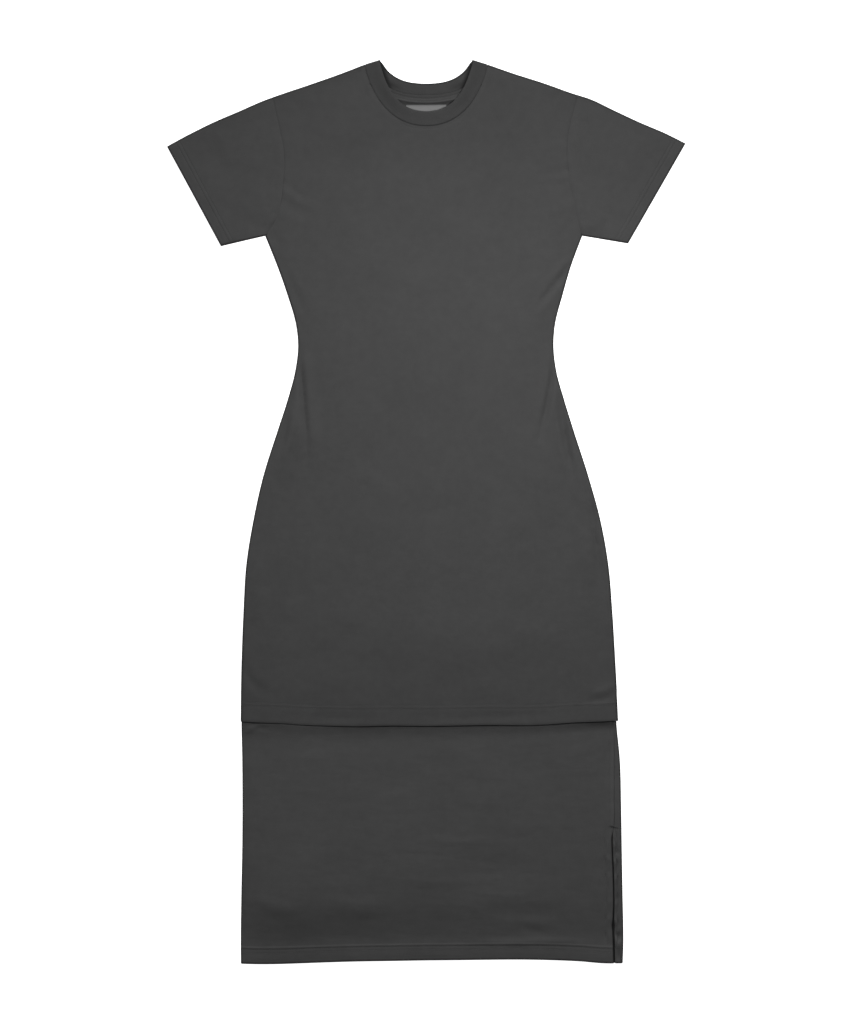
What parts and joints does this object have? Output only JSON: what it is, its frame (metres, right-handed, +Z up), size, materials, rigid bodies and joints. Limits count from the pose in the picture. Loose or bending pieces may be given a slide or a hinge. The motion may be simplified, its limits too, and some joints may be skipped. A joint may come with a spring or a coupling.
{
  "type": "short-sleeved jersey dress, laid flat",
  "caption": "Short-sleeved fitted jersey dress laid flat: ribbed round neck, a body whose hem lies over an underskirt, and a slit in the underskirt's side seam.",
  "frame": {"origin": "on the surface that the dress lies on, under the middle of its outline", "axes": "+Y from the hem to the neck, +X towards the wearer's left, +Z up out of the front of the laid dress"},
  "size_m": [0.7232, 1.2637, 0.0087],
  "materials": {
    "jersey": "matt charcoal cotton jersey",
    "rib": "matt charcoal rib knit",
    "tape": "charcoal woven tape",
    "label": "grey woven satin label, bare"
  },
  "bodies": {
    "root": {"tunic_front": "jersey", "tunic_back": "jersey", "sleeve_left": "jersey", "sleeve_right": "jersey", "underskirt_front": "jersey", "underskirt_back": "jersey", "neck_rib": "rib", "neck_tape": "tape", "neck_label": "label"}
  },
  "joints": []
}
